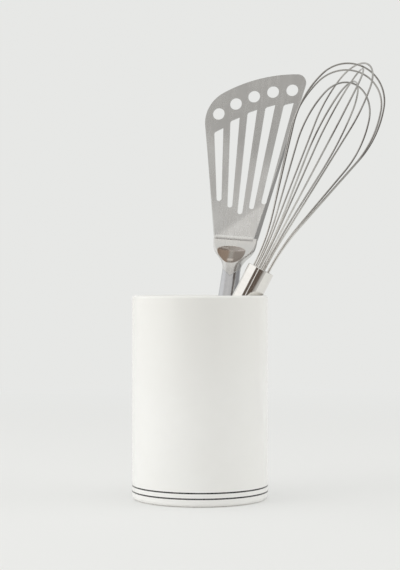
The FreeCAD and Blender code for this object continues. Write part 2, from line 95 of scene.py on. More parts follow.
class NodeSheet:
    """Adds and links the nodes of one shader node tree."""

    def __init__(self, tree: bpy.types.NodeTree) -> None:
        """Starts on an empty tree."""
        self.tree = tree
        self.tree.nodes.clear()

    def add(self, kind: str, **settings: object) -> bpy.types.Node:
        """Adds a node.

        Args:
            kind: Blender's name of the node type, without its ShaderNode prefix.
            settings: properties of the node, set by name.

        Returns:
            The new node.
        """
        node = self.tree.nodes.new("ShaderNode" + kind)
        for name, value in settings.items():
            setattr(node, name, value)
        return node

    def feed(self, node: bpy.types.Node, **inputs: object) -> bpy.types.Node:
        """Sets or links input sockets, named with underscores for spaces.

        Args:
            node: the node whose sockets are fed.
            inputs: a socket to link from, or a plain value.

        Returns:
            The same node.
        """
        for name, value in inputs.items():
            self.put(value, node.inputs[name.replace("_", " ")])
        return node

    def put(self, value: object, socket: Socket) -> None:
        """Links an output to an input socket, or sets that input to a value.

        Args:
            value: a socket to link from, or a plain value.
            socket: the input socket.
        """
        if isinstance(value, Socket):
            self.tree.links.new(value, socket)
        else:
            socket.default_value = value

    def place(self) -> Socket:
        """Gives the position in the row frame."""
        return self.add("TexCoord").outputs["Object"]

    def turned(self, place: Socket, centre: Vector, turn: Quaternion) -> Socket:
        """Moves positions to a centre and turns them.

        Args:
            place: the position in the row frame.
            centre: the point that becomes the origin.
            turn: the turn from the row frame.

        Returns:
            The position from the centre, in the turned axes.
        """
        node = self.add("Mapping")
        self.feed(node, Vector=place, Location=-(turn @ centre), Rotation=turn.to_euler())
        return node.outputs[0]

    def split(self, vector: Socket) -> tuple[Socket, Socket, Socket]:
        """Splits a vector into its X, Y and Z."""
        return tuple(self.feed(self.add("SeparateXYZ"), Vector=vector).outputs)

    def vector(self, x: object = 0.0, y: object = 0.0, z: object = 0.0) -> Socket:
        """Joins X, Y and Z into a vector."""
        return self.feed(self.add("CombineXYZ"), X=x, Y=y, Z=z).outputs[0]

    def length(self, vector: Socket) -> Socket:
        """Measures a vector.

        Args:
            vector: the vector.

        Returns:
            Its length.
        """
        node = self.add("VectorMath", operation="LENGTH")
        self.put(vector, node.inputs[0])
        return node.outputs["Value"]

    def math(self, operation: str, first: object, second: object = 0.0) -> Socket:
        """Adds a Math node.

        Args:
            operation: Blender's name of the operation.
            first: the first value or socket.
            second: the second value or socket.

        Returns:
            The node's output.
        """
        node = self.add("Math", operation=operation)
        self.put(first, node.inputs[0])
        self.put(second, node.inputs[1])
        return node.outputs[0]

    def times(self, first: object, second: object) -> Socket:
        """Multiplies two values."""
        return self.math("MULTIPLY", first, second)

    def ramp(self, value: object, low: object, high: object,
             start: object = 0.0, end: object = 1.0) -> Socket:
        """Adds a smooth step from one value to another.

        Args:
            value: what is read.
            low: where the step begins.
            high: where the step ends.
            start: the result below the step.
            end: the result above the step.

        Returns:
            The stepped value.
        """
        node = self.add("MapRange", interpolation_type="SMOOTHSTEP")
        for socket, item in zip(node.inputs, (value, low, high, start, end)):
            self.put(item, socket)
        return node.outputs[0]

    def blend(self, share: object, first: object, second: object, kind: str = "MIX") -> Socket:
        """Mixes two colours.

        Args:
            share: how much of the second colour shows.
            first: a colour or socket.
            second: a colour or socket.
            kind: Blender's name of the way that they mix.

        Returns:
            The mixed colour.
        """
        node = self.add("Mix", data_type="RGBA", blend_type=kind)
        for index, item in ((0, share), (6, first), (7, second)):
            self.put(item, node.inputs[index])
        return node.outputs[2]

    def noise(self, vector: object, scale: object, layers: Layers) -> Socket:
        """Adds a noise texture.

        Args:
            vector: the position that it reads.
            scale: features per metre.
            layers: its finer layers.

        Returns:
            The noise value.
        """
        node = self.add("TexNoise")
        self.feed(node, Vector=vector, Scale=scale, Detail=layers.detail, Roughness=layers.roughness)
        return node.outputs["Fac"]

    def bump(self, height: Socket, strength: float, distance: float) -> Socket:
        """Adds a bump.

        Args:
            height: the relief, from 0 to 1.
            strength: how much of it shows.
            distance: how deep the full relief is, in metres.

        Returns:
            The bumped normal.
        """
        node = self.add("Bump")
        self.feed(node, Height=height, Strength=strength, Distance=distance)
        return node.outputs[0]

    def seen(self) -> Socket:
        """Tells rays that look at a background from rays that carry light.

        Returns:
            1 for a ray that looks, and 0 for one that carries light.
        """
        path = self.add("LightPath").outputs
        direct = self.math("MAXIMUM", path["Is Camera Ray"], path["Is Glossy Ray"])
        return self.math("MAXIMUM", direct, path["Is Transmission Ray"])


def opaque(colour: Colour) -> tuple[float, float, float, float]:
    """A colour with full alpha, as sockets take it."""
    return (*colour, 1.0)


def blank_material(name: str) -> tuple[bpy.types.Material, NodeSheet]:
    """Makes a material without nodes.

    Args:
        name: the material's name.

    Returns:
        The material, and a sheet on its tree.
    """
    material = bpy.data.materials.new(name)
    material.use_nodes = True
    return material, NodeSheet(material.node_tree)


def new_material(name: str) -> tuple[bpy.types.Material, NodeSheet, bpy.types.Node]:
    """Makes a material with a Principled BSDF on its output.

    Args:
        name: the material's name.

    Returns:
        The material, a sheet on its tree, and the shader.
    """
    material, sheet = blank_material(name)
    shader = sheet.add("BsdfPrincipled")
    sheet.feed(sheet.add("OutputMaterial"), Surface=shader.outputs[0])
    return material, sheet, shader


class Effects:
    """Shader node groups that more than one finish uses, each built once."""

    fine_layers: Layers = Layers(3.0, 0.65)
    coarse_layers: Layers = Layers(2.0)
    coarse_share: float = 0.17
    streak_range: tuple[float, float] = (0.3, 0.7)
    broad_layers: Layers = Layers(2.0, 0.4)
    finer_layers: Layers = Layers(4.0, 0.6)
    finer_share: float = 5.3
    broad_weight: float = 0.7
    mask_range: tuple[float, float] = (0.32, 0.68)

    def __init__(self) -> None:
        """Builds the groups."""
        self.lines = self.polishing_lines()
        self.marks = self.handling_marks()
        self.edge = self.soft_edge()

    @staticmethod
    def start(name: str, vectors: list[str], values: list[str],
              outputs: list[str]) -> tuple[NodeSheet, object, object]:
        """Makes an empty group with its sockets.

        Args:
            name: the group's name.
            vectors: names of the inputs that are vectors.
            values: names of the inputs that are plain values.
            outputs: names of the outputs, all plain values.

        Returns:
            A sheet on the group's tree, the group's inputs, and where its outputs go.
        """
        tree = bpy.data.node_groups.new(name, "ShaderNodeTree")
        sheet = NodeSheet(tree)
        for names, direction, kind in ((vectors, "INPUT", "NodeSocketVector"),
                                       (values, "INPUT", "NodeSocketFloat"),
                                       (outputs, "OUTPUT", "NodeSocketFloat")):
            for socket in names:
                tree.interface.new_socket(socket, in_out=direction, socket_type=kind)
        return sheet, tree.nodes.new("NodeGroupInput").outputs, tree.nodes.new("NodeGroupOutput").inputs

    def polishing_lines(self) -> bpy.types.NodeTree:
        """Fine lines left by a polishing belt, drawn out along local Z.

        Returns:
            The group, with a height and a streak value.
        """
        sheet, given, out = self.start(
            "polishing_lines", ["Vector"], ["Fineness", "Draw"], ["Height", "Streak"])
        x, y, z = sheet.split(given["Vector"])
        drawn = sheet.vector(x, y, sheet.math("DIVIDE", z, given["Draw"]))
        fine = sheet.noise(drawn, given["Fineness"], self.fine_layers)
        wide = sheet.times(given["Fineness"], self.coarse_share)
        coarse = sheet.noise(drawn, wide, self.coarse_layers)
        sheet.put(fine, out["Height"])
        sheet.put(sheet.ramp(coarse, *self.streak_range), out["Streak"])
        return sheet.tree

    def handling_marks(self) -> bpy.types.NodeTree:
        """Soft clouds of wiping and handling.

        Returns:
            The group, with one mask.
        """
        sheet, given, out = self.start("handling_marks", ["Vector"], ["Scale"], ["Mask"])
        broad = sheet.noise(given["Vector"], given["Scale"], self.broad_layers)
        close = sheet.times(given["Scale"], self.finer_share)
        finer = sheet.noise(given["Vector"], close, self.finer_layers)
        both = sheet.math("ADD", sheet.times(broad, self.broad_weight),
                          sheet.times(finer, 1 - self.broad_weight))
        sheet.put(sheet.ramp(both, *self.mask_range), out["Mask"])
        return sheet.tree

    def soft_edge(self) -> bpy.types.NodeTree:
        """Soft step across local Z, on a line that may slant with local X.

        Returns:
            The group, with a mask that is 1 above the edge.
        """
        sheet, given, out = self.start("soft_edge", ["Vector"], ["Low", "High", "Slant"], ["Above"])
        x, _, z = sheet.split(given["Vector"])
        along = sheet.math("ADD", z, sheet.times(x, given["Slant"]))
        sheet.put(sheet.ramp(along, given["Low"], given["High"]), out["Above"])
        return sheet.tree

    @staticmethod
    def use(sheet: NodeSheet, group: bpy.types.NodeTree, **inputs: object) -> bpy.types.Node:
        """Places a group in a material and feeds its inputs.

        Args:
            sheet: the material's sheet.
            group: the group to place.
            inputs: sockets or values by name.

        Returns:
            The group node.
        """
        return sheet.feed(sheet.add("Group", node_tree=group), **inputs)


@dataclass(frozen=True)
class Hollow:
    """Egg-shaped hollow pressed into a piece, with painted reflections in it: painted dark brown reflection
    and shade, a painted highlight streak, painted light on its upper wall and a painted glint.

    Its half sizes are its width, its depth, its rise above the widest place and its fall below that. The
    ranges are in those half sizes, from the hollow's middle.
    """

    centre: Vector
    turn: Quaternion
    half_sizes: tuple[float, float, float, float]
    # Painted reflections: a dark brown left side, a darker grey-brown shaded right side, a light streak down
    # the middle, a light upper wall and a glint low down.
    painted_dark_reflection: Colour = (0.32, 0.243, 0.193)
    shade: Colour = (0.30, 0.262, 0.235)
    painted_highlight_streak: Colour = (0.395, 0.365, 0.335)
    painted_brow_light: Colour = (0.86, 0.82, 0.785)
    glint: Colour = (0.78, 0.70, 0.64)
    matt: float = 0.75
    rim: tuple[float, float] = (1.01, 1.035)
    shade_range: tuple[float, float] = (-0.1, 0.2)
    streak_range: tuple[float, float] = (0.02, 0.2)
    painted_brow_range: tuple[float, float] = (-0.15, 0.6)
    matt_range: tuple[float, float] = (0.0, 0.5)
    glint_height: float = 0.515
    glint_across: tuple[float, float] = (0.1, 0.2)
    glint_along: tuple[float, float] = (0.04, 0.1)
    glint_share: float = 0.65

    def with_painted_reflections(self, sheet: NodeSheet, place: Socket, plain: Socket, rough: Socket) -> tuple[Socket, Socket]:
        """Paints the hollow's reflections into a colour, as painted shade, painted highlights and painted
        light on the upper wall, and leaves its upper wall matt from the press.

        Args:
            sheet: the material's sheet.
            place: the position in the row frame.
            plain: the colour outside the hollow.
            rough: the roughness outside the hollow.

        Returns:
            The colour and the roughness with the hollow in them.
        """
        width, depth, rise, fall = self.half_sizes
        x, y, z = sheet.split(sheet.turned(place, self.centre, self.turn.inverted()))
        across = sheet.math("DIVIDE", x, width)
        over = sheet.math("DIVIDE", z, rise)
        under = sheet.math("DIVIDE", z, -fall)
        egg = sheet.vector(across, sheet.math("DIVIDE", y, depth), sheet.math("MAXIMUM", over, under))
        inside = sheet.ramp(sheet.length(egg), *self.rim, 1.0, 0.0)
        side = sheet.math("ABSOLUTE", across)
        # Painted dark reflection and shade across the hollow, then a painted highlight streak and painted
        # light on the upper wall.
        sides = sheet.blend(sheet.ramp(across, *self.shade_range), opaque(self.painted_dark_reflection), opaque(self.shade))
        with_painted_streak = sheet.blend(sheet.ramp(side, *self.streak_range, 1.0, 0.0), sides, opaque(self.painted_highlight_streak))
        hollow = sheet.blend(sheet.ramp(over, *self.painted_brow_range), with_painted_streak, opaque(self.painted_brow_light))
        # Painted glint: a small painted highlight near the bottom of the hollow.
        low = sheet.math("ABSOLUTE", sheet.math("SUBTRACT", under, self.glint_height))
        glint = sheet.times(sheet.ramp(side, *self.glint_across, 1.0, 0.0),
                            sheet.ramp(low, *self.glint_along, self.glint_share, 0.0))
        colour = sheet.blend(inside, plain, sheet.blend(glint, hollow, opaque(self.glint)))
        pressed = sheet.times(inside, sheet.ramp(over, *self.matt_range))
        return colour, sheet.ramp(pressed, 0.0, 1.0, rough, self.matt)


@dataclass(frozen=True)
class Edge:
    """Soft edge of a patch, from low to high along the pieces' axis, on a line that may slant."""

    side: Side
    low: float
    high: float
    slant: float = 0.0


@dataclass(frozen=True)
class PaintedLightPatch:
    """Painted light or shade on a finish: lighter or darker inside all its edges, where the steel mirrors
    lighter or darker parts of the room.
    """

    share: float
    edges: tuple[Edge, ...]

    def laid(self, sheet: NodeSheet, effects: Effects, place: Socket) -> Socket:
        """Makes the patch's brightness.

        Args:
            sheet: the material's sheet.
            effects: the shared node groups.
            place: the position, with Z along the pieces' axis.

        Returns:
            The share inside the patch, and 1 outside it.
        """
        inside = 1.0
        for edge in self.edges:
            step = effects.use(sheet, effects.edge, Vector=place,
                               Low=edge.low, High=edge.high, Slant=edge.slant)
            mask = step.outputs["Above"]
            if edge.side is Side.BELOW:
                mask = sheet.math("SUBTRACT", 1.0, mask)
            inside = sheet.times(inside, mask)
        return sheet.math("ADD", sheet.times(inside, self.share - 1.0), 1.0)


@dataclass(frozen=True)
class SteelFinish:
    """Stainless steel with polishing lines and handling marks, and any patches of painted light and shade
    and painted reflections in a hollow.
    """

    name: str
    colour: Colour
    dark: Colour
    roughness: float
    spread: float
    grain: Grain
    fineness: float
    draw: float
    depth: float
    marks_scale: float
    painted_light_patches: tuple[PaintedLightPatch, ...] = ()
    marks_weight: float = 0.6
    line_strength: float = 0.35
    line_per_radian: float = 0.01

    def material(self, effects: Effects, centre: Vector, axis: Vector,
                 hollow: Hollow | None = None) -> bpy.types.Material:
        """Makes the finish for pieces that lie about one axis.

        Args:
            effects: the shared node groups.
            centre: a point on the pieces' axis.
            axis: the direction of that axis.
            hollow: a hollow that the pieces have, if any.

        Returns:
            The material.
        """
        material, sheet, shader = new_material(self.name)
        place = sheet.place()
        local = sheet.turned(place, centre, axis.rotation_difference(UP))
        drawn = local
        if self.grain is Grain.AROUND:
            x, y, z = sheet.split(local)
            drawn = sheet.vector(x=z, z=sheet.times(sheet.math("ARCTAN2", y, x), self.line_per_radian))
        lines = effects.use(sheet, effects.lines, Vector=drawn,
                            Fineness=self.fineness, Draw=self.draw).outputs
        marks = effects.use(sheet, effects.marks, Vector=local, Scale=self.marks_scale).outputs
        worn = sheet.math("ADD", sheet.times(marks["Mask"], self.marks_weight),
                          sheet.times(lines["Streak"], 1 - self.marks_weight))
        rough = sheet.ramp(worn, 0.0, 1.0, self.roughness - self.spread, self.roughness + self.spread)
        colour = sheet.blend(worn, opaque(self.colour), opaque(self.dark))
        # Painted light and shade: each patch lightens or darkens the colour where the steel mirrors lighter
        # or darker parts of the room.
        for patch in self.painted_light_patches:
            colour = sheet.blend(1.0, colour, patch.laid(sheet, effects, local), "MULTIPLY")
        # Painted reflections inside the hollow.
        if hollow:
            colour, rough = hollow.with_painted_reflections(sheet, place, colour, rough)
        normal = sheet.bump(lines["Height"], self.line_strength, self.depth)
        sheet.feed(shader, Base_Color=colour, Roughness=rough, Metallic=1.0, Normal=normal)
        return material


@dataclass(frozen=True)
class GlazeFinish:
    """White tin glaze over pale clay, bare where the pot stands, with painted shade darkening it towards the
    top.
    """

    colour: Colour = (0.885, 0.88, 0.86)
    pooled: Colour = (0.865, 0.858, 0.835)
    # Painted shade: the glaze colour towards the top of the pot.
    upper: Colour = (0.83, 0.82, 0.79)
    painted_upper_shade_range: tuple[float, float] = (0.06, 0.143)
    clay: Colour = (0.76, 0.71, 0.63)
    speckle_range: tuple[float, float] = (0.35, 0.65)
    speckle_tones: tuple[float, float] = (0.75, 1.05)
    bare_edge: tuple[float, float] = (0.0002, 0.0006)
    bare_wander: float = 0.0006
    bare_roughness: float = 0.6
    roughness: tuple[float, float] = (0.14, 0.22)
    cloud_scale: float = 22.0
    grain_scale: float = 900.0
    grain_layers: Layers = Layers(4.0, 0.6)
    ripple_scale: float = 60.0
    ripple_layers: Layers = Layers(2.0, 0.4)
    grain_relief: tuple[float, float] = (0.01, 0.5)
    relief_strength: float = 0.25
    relief: float = 0.0006
    ior: float = 1.5

    def material(self, effects: Effects) -> bpy.types.Material:
        """Makes the glaze.

        Args:
            effects: the shared node groups.

        Returns:
            The material.
        """
        material, sheet, shader = new_material("white_glaze")
        place = sheet.place()
        height = sheet.split(place)[2]
        cloud = effects.use(sheet, effects.marks, Vector=place, Scale=self.cloud_scale).outputs["Mask"]
        grain = sheet.noise(place, self.grain_scale, self.grain_layers)
        edge = sheet.math("ADD", height, sheet.times(sheet.math("SUBTRACT", grain, 0.5), self.bare_wander))
        bare = sheet.ramp(edge, *self.bare_edge, 1.0, 0.0)
        lower = sheet.blend(cloud, opaque(self.colour), opaque(self.pooled))
        # Painted shade: the glaze is darker towards the top of the pot.
        glaze_with_painted_shade = sheet.blend(sheet.ramp(height, *self.painted_upper_shade_range), lower, opaque(self.upper))
        speckle = sheet.ramp(grain, *self.speckle_range, *self.speckle_tones)
        clay = sheet.blend(1.0, opaque(self.clay), speckle, "MULTIPLY")
        gloss = sheet.ramp(cloud, 0.0, 1.0, *self.roughness)
        rough = sheet.math("ADD", gloss, sheet.times(bare, self.bare_roughness))
        ripple = sheet.noise(place, self.ripple_scale, self.ripple_layers)
        peel = sheet.math("ADD", ripple, sheet.times(grain, sheet.ramp(bare, 0.0, 1.0, *self.grain_relief)))
        sheet.feed(shader, Base_Color=sheet.blend(bare, glaze_with_painted_shade, clay), Roughness=rough, IOR=self.ior,
                   Normal=sheet.bump(peel, self.relief_strength, self.relief))
        return material


@dataclass(frozen=True)
class BandFinish:
    """Dark grey banding colour, brushed on a turning wheel under the glaze."""

    colour: Colour = (0.03, 0.03, 0.029)
    thin: Colour = (0.075, 0.074, 0.071)
    roughness: tuple[float, float] = (0.2, 0.32)
    cloud_scale: float = 140.0

    def material(self, effects: Effects) -> bpy.types.Material:
        """Makes the banding colour.

        Args:
            effects: the shared node groups.

        Returns:
            The material.
        """
        material, sheet, shader = new_material("grey_banding")
        place = sheet.place()
        cloud = effects.use(sheet, effects.marks, Vector=place, Scale=self.cloud_scale).outputs["Mask"]
        sheet.feed(shader, Base_Color=sheet.blend(cloud, opaque(self.colour), opaque(self.thin)),
                   Roughness=sheet.ramp(cloud, 0.0, 1.0, *self.roughness))
        return material


@dataclass(frozen=True)
class ResinFinish:
    """Grey casting resin that fills the whisk's mouth."""

    colour: Colour = (0.20, 0.20, 0.20)
    pale: Colour = (0.27, 0.27, 0.265)
    roughness: tuple[float, float] = (0.42, 0.6)
    cloud_scale: float = 260.0
    pit_scale: float = 1800.0
    pit_layers: Layers = Layers(3.0)
    pit_strength: float = 0.3
    pit_depth: float = 0.0002

    def material(self, effects: Effects) -> bpy.types.Material:
        """Makes the resin.

        Args:
            effects: the shared node groups.

        Returns:
            The material.
        """
        material, sheet, shader = new_material("grey_resin")
        place = sheet.place()
        cloud = effects.use(sheet, effects.marks, Vector=place, Scale=self.cloud_scale).outputs["Mask"]
        pits = sheet.noise(place, self.pit_scale, self.pit_layers)
        sheet.feed(shader, Base_Color=sheet.blend(cloud, opaque(self.colour), opaque(self.pale)),
                   Roughness=sheet.ramp(cloud, 0.0, 1.0, *self.roughness),
                   Normal=sheet.bump(pits, self.pit_strength, self.pit_depth))
        return material


def place_object(name: str, data: bpy.types.ID) -> bpy.types.Object:
    """Puts a new object in the scene.

    Args:
        name: the object's name.
        data: its mesh, light or camera.

    Returns:
        The object.
    """
    holder = bpy.data.objects.new(name, data)
    bpy.context.scene.collection.objects.link(holder)
    return holder


def mesh_piece(name: str, mesh: bmesh.types.BMesh, body: Body,
               material: bpy.types.Material) -> bpy.types.Object:
    """Turns a finished bmesh into a smooth piece that rides on a body.

    Args:
        name: the piece's name.
        mesh: the bmesh, in metres in the row frame; it is freed.
        body: the body that the piece rides on.
        material: the piece's material.

    Returns:
        The new object.
    """
    data = bpy.data.meshes.new(name)
    mesh.to_mesh(data)
    mesh.free()
    for face in data.polygons:
        face.use_smooth = True
    data.materials.append(material)
    piece = place_object(name, data)
    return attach(piece, body.value)


def bridge(form: bmesh.types.BMesh, rings: list[list[bmesh.types.BMVert]]) -> None:
    """Joins each ring of points to the next with faces.

    Args:
        form: the bmesh that holds the points.
        rings: the rings in order, each with as many points as the others.
    """
    for lower, upper in zip(rings, rings[1:]):
        for step in range(len(lower)):
            after = (step + 1) % len(lower)
            form.faces.new((lower[step], lower[after], upper[after], upper[step]))


def revolve(profile: list[tuple[float, float]], sides: int) -> bmesh.types.BMesh:
    """Turns a profile of radius and height about the Z axis.

    Args:
        profile: points from one end of the outline to the other.
        sides: how many sides the turned form has.

    Returns:
        The turned form.
    """
    form = bmesh.new()
    angles = [2 * math.pi * step / sides for step in range(sides)]
    rings = [[form.verts.new((radius * math.cos(angle), radius * math.sin(angle), height))
              for angle in angles] for radius, height in profile]
    bridge(form, rings)
    return form


def join(whole: bmesh.types.BMesh, part: bmesh.types.BMesh) -> None:
    """Adds one bmesh to another.

    Args:
        whole: the bmesh that grows.
        part: the bmesh that is added; it is freed.
    """
    data = bpy.data.meshes.new("part")
    part.to_mesh(data)
    part.free()
    whole.from_mesh(data)
    bpy.data.meshes.remove(data)


def add_cord(form: bmesh.types.BMesh, path: list[Vector], radius: float, sides: int = 8) -> None:
    """Adds a round cord along a path.

    Args:
        form: the bmesh that the cord is added to.
        path: points along the cord's middle.
        radius: the cord's radius.
        sides: how many sides the cord has.
    """
    angles = [2 * math.pi * step / sides for step in range(sides)]
    rings = []
    for index, point in enumerate(path):
        along = path[min(index + 1, len(path) - 1)] - path[max(index - 1, 0)]
        first = along.orthogonal().normalized()
        second = along.cross(first).normalized()
        if rings:
            first = (rings[-1][0].co - path[index - 1]).normalized()
            second = along.cross(first).normalized()
            first = second.cross(along).normalized()
        rings.append([form.verts.new(point + (first * math.cos(angle) + second * math.sin(angle)) * radius)
                      for angle in angles])
    bridge(form, rings)
    form.faces.new(rings[0][::-1])
    form.faces.new(rings[-1])


def dress(nodes: list[str], material: bpy.types.Material) -> None:
    """Gives carried-over CAD nodes a material.

    Args:
        nodes: the nodes' names.
        material: the material that they take.
    """
    for name in nodes:
        data = frame["nodes"][name].data
        data.materials.clear()
        data.materials.append(material)
        LOG.info("dressed %s in %s", name, material.name)


def joint_axis(name: str) -> Vector:
    """Direction of one of the record's joints."""
    return Vector(next(joint["axis"] for joint in frame["joints"] if joint["name"] == name))


def points_of(node: str) -> list[Vector]:
    """Points of a CAD node's mesh."""
    return [vertex.co for vertex in frame["nodes"][node].data.vertices]


def middle(node: str) -> Vector:
    """Centre of a CAD node's box."""
    low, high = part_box(node)
    return (low + high) / 2


def mean(points: list[Vector]) -> Vector:
    """Middle of some points."""
    return sum(points, Vector()) / len(points)


@dataclass
class Crock:
    """The pot with its two brushed bands."""

    effects: Effects
    glaze: GlazeFinish = GlazeFinish()
    banding: BandFinish = BandFinish()
    band_heights: tuple[float, float] = (0.0057, 0.0096)
    band_width: float = 0.0011
    band_flat: float = 0.8
    band_relief: float = 0.00004
    sides: int = 192

    def build(self) -> None:
        """Lays the bands round the outside of the pot."""
        low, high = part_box("crock_body")
        radius = (high.x - low.x) / 2
        finish = self.banding.material(self.effects)
        half = self.band_width / 2
        flat = half * self.band_flat
        top = radius + self.band_relief
        foot = radius - self.band_relief
        for name, height in zip(("band_lower", "band_upper"), self.band_heights):
            profile = [(foot, height - half), (top, height - flat),
                       (top, height + flat), (foot, height + half)]
            band = mesh_piece(name, revolve(profile, self.sides), Body.CROCK, finish)
            LOG.info("built %s at %.1f mm", name, height * 1000)

    def dress(self) -> None:
        """Glazes the pot."""
        dress(["crock_body"], self.glaze.material(self.effects))


@dataclass
class Whisk:
    """Tube handle, resin plug and nested wire loops."""

    effects: Effects
    axis: Vector = field(default_factory=lambda: joint_axis("whisk_lift"))
    tube: SteelFinish = SteelFinish(
        "tube_steel", (0.88, 0.86, 0.825), (0.82, 0.80, 0.765), roughness=0.09, spread=0.03,
        grain=Grain.AROUND, fineness=2600.0, draw=6.0, depth=0.00001, marks_scale=40.0)
    # The wires are painted lighter in their lower part, near the mouth: painted reflection light.
    wire: SteelFinish = SteelFinish(
        "wire_steel", (0.52, 0.507, 0.488), (0.437, 0.428, 0.409), roughness=0.09, spread=0.03,
        grain=Grain.ALONG, fineness=1500.0, draw=30.0, depth=0.00001, marks_scale=90.0,
        painted_light_patches=(PaintedLightPatch(1.61, (Edge(Side.BELOW, 0.085, 0.15),)),))
    resin: ResinFinish = ResinFinish()
    fillet: tuple[tuple[float, float], ...] = (
        (0.00085, 0.0), (0.00074, 0.00007), (0.00068, 0.00018), (0.00064, 0.00034))
    fillet_sides: int = 24
    root_slice: float = 0.0002
    root_gap: float = 0.003

    @cached_property
    def cast_resin(self) -> bpy.types.Material:
        """Resin of the plug and of the fillets on it."""
        return self.resin.material(self.effects)

    def build(self) -> None:
        """Lets the resin creep up every wire where it leaves the plug."""
        top = max(point.dot(self.axis) for point in points_of("whisk_head_plug"))
        turn = UP.rotation_difference(self.axis).to_matrix().to_4x4()
        fillets = bmesh.new()
        for name in self.wires():
            for root in self.roots(name):
                ring = revolve(list(self.fillet), self.fillet_sides)
                ring.transform(Matrix.Translation(root + self.axis * (top - root.dot(self.axis))) @ turn)
                join(fillets, ring)
        piece = mesh_piece("resin_fillets", fillets, Body.WHISK, self.cast_resin)
        LOG.info("built %s", piece.name)

    def wires(self) -> list[str]:
        """Names of the wire loops in order."""
        return sorted(name for name in frame["nodes"] if name.startswith("whisk_wire"))

    def roots(self, name: str) -> list[Vector]:
        """Finds the middles of a loop's two lower ends.

        Args:
            name: the loop's node.

        Returns:
            One point for each end.
        """
        points = points_of(name)
        foot = min(point.dot(self.axis) for point in points)
        ends = [point for point in points if point.dot(self.axis) < foot + self.root_slice]
        first = [point for point in ends if (point - ends[0]).length < self.root_gap]
        second = [point for point in ends if (point - ends[0]).length >= self.root_gap]
        return [mean(first), mean(second)]

    def dress(self) -> None:
        """Gives the tube, the plug and the wires their finishes."""
        centre = middle("whisk_handle")
        tube = self.tube.material(self.effects, centre, self.axis)
        dress(["whisk_handle", "whisk_end_cap", "whisk_hang_loop"], tube)
        dress(["whisk_head_plug"], self.cast_resin)
        dress(self.wires(), self.wire.material(self.effects, centre, self.axis))


@dataclass
class Turner:
    """Stamped blade in a hollow handle."""

    effects: Effects
    axis: Vector = field(default_factory=lambda: joint_axis("turner_lift"))
    # The blade's patches are painted light and shade from reflections: darker round the shoulder, lighter
    # towards a lower corner, a lighter band just above the crease bead, and darker towards the tip.
    blade: SteelFinish = SteelFinish(
        "blade_steel", (0.62, 0.617, 0.604), (0.585, 0.582, 0.57), roughness=0.27, spread=0.06,
        grain=Grain.ALONG, fineness=2200.0, draw=45.0, depth=0.000006, marks_scale=26.0,
        painted_light_patches=(PaintedLightPatch(0.84, (Edge(Side.BELOW, 0.070, 0.082),)),
                 PaintedLightPatch(1.15, (Edge(Side.BELOW, 0.12, 0.16, -0.925),)),
                 PaintedLightPatch(1.25, (Edge(Side.BELOW, 0.1050, 0.1112, -0.85), Edge(Side.ABOVE, 0.0955, 0.098),
                              Edge(Side.ABOVE, 0.027, 0.031, -5.0))),
                 PaintedLightPatch(0.84, (Edge(Side.ABOVE, 0.148, 0.170, 0.5),))))
    grip: SteelFinish = SteelFinish(
        "grip_steel", (0.55, 0.555, 0.57), (0.50, 0.505, 0.52), roughness=0.15, spread=0.04,
        grain=Grain.ALONG, fineness=2400.0, draw=40.0, depth=0.00001, marks_scale=35.0)
    facing: float = math.radians(-12.0)
    dish_place: Point = (-0.0016, -0.00834, 0.01596)
    dish_tilt: float = math.radians(-11.18)
    dish_sizes: tuple[float, float, float, float] = (0.01446, 0.009, 0.00434, 0.0146)
    neck_half: tuple[float, float] = (0.0067, 0.0043)
    neck_flare: float = 0.019
    vee_depth: float = 0.0052
    seam_radius: float = 0.00016
    seam_steps: int = 24

    @cached_property
    def grip_steel(self) -> bpy.types.Material:
        """Steel of the handle and of the line brazed on it."""
        return self.grip.material(self.effects, middle("turner_handle"), self.axis)

    def build(self) -> None:
        """Runs a fine braze line along the vee joint, front and back."""
        origin, turn = self.handle_top()
        seam = bmesh.new()
        for face in (-1, 1):
            path = [origin + turn @ self.seam_point(step / self.seam_steps, face)
                    for step in range(-self.seam_steps, self.seam_steps + 1)]
            add_cord(seam, path, self.seam_radius)
        piece = mesh_piece("neck_seam", seam, Body.TURNER, self.grip_steel)
        LOG.info("built %s", piece.name)

    def seam_point(self, share: float, face: int) -> Vector:
        """Finds a point of the vee joint on the handle's outside.

        Args:
            share: how far across the handle, from -1 to 1.
            face: -1 for the front or 1 for the back.

        Returns:
            The point, from the handle's top in the turner's own axes.
        """
        half_width, half_depth = self.neck_half
        drop = self.vee_depth * (1 - abs(share))
        depth = half_depth + self.neck_flare * drop
        past_flat = max(0.0, abs(share) * half_width - (half_width - half_depth))
        out = math.sqrt(max(0.0, 1 - (past_flat / half_depth) ** 2))
        return Vector((share * half_width, face * depth * out, -drop))

    def handle_top(self) -> tuple[Vector, Matrix]:
        """Finds the middle of the handle's top and the turner's own axes.

        Returns:
            The point in the row frame, and the rotation of the axes.
        """
        azimuth = math.atan2(self.axis.y, self.axis.x)
        lean = math.acos(self.axis.z)
        turn = (Matrix.Rotation(azimuth, 3, "Z") @ Matrix.Rotation(lean, 3, "Y")
                @ Matrix.Rotation(self.facing - azimuth, 3, "Z"))
        on_axis = mean(points_of("turner_hang_loop"))
        top = max(point.dot(self.axis) for point in points_of("turner_handle"))
        return on_axis + self.axis * (top - on_axis.dot(self.axis)), turn

    def dish(self) -> Hollow:
        """Places the thumb dish above the handle's top.

        Returns:
            The dish.
        """
        origin, turn = self.handle_top()
        tilted = turn @ Matrix.Rotation(self.dish_tilt, 3, "X")
        return Hollow(origin + turn @ Vector(self.dish_place), tilted.to_quaternion(), self.dish_sizes)

    def dress(self) -> None:
        """Gives the blade and the handle their finishes."""
        blade = self.blade.material(self.effects, middle("turner_handle"), self.axis, self.dish())
        dress(["turner_blade"], blade)
        dress(["turner_handle", "turner_end_cap", "turner_hang_loop"], self.grip_steel)


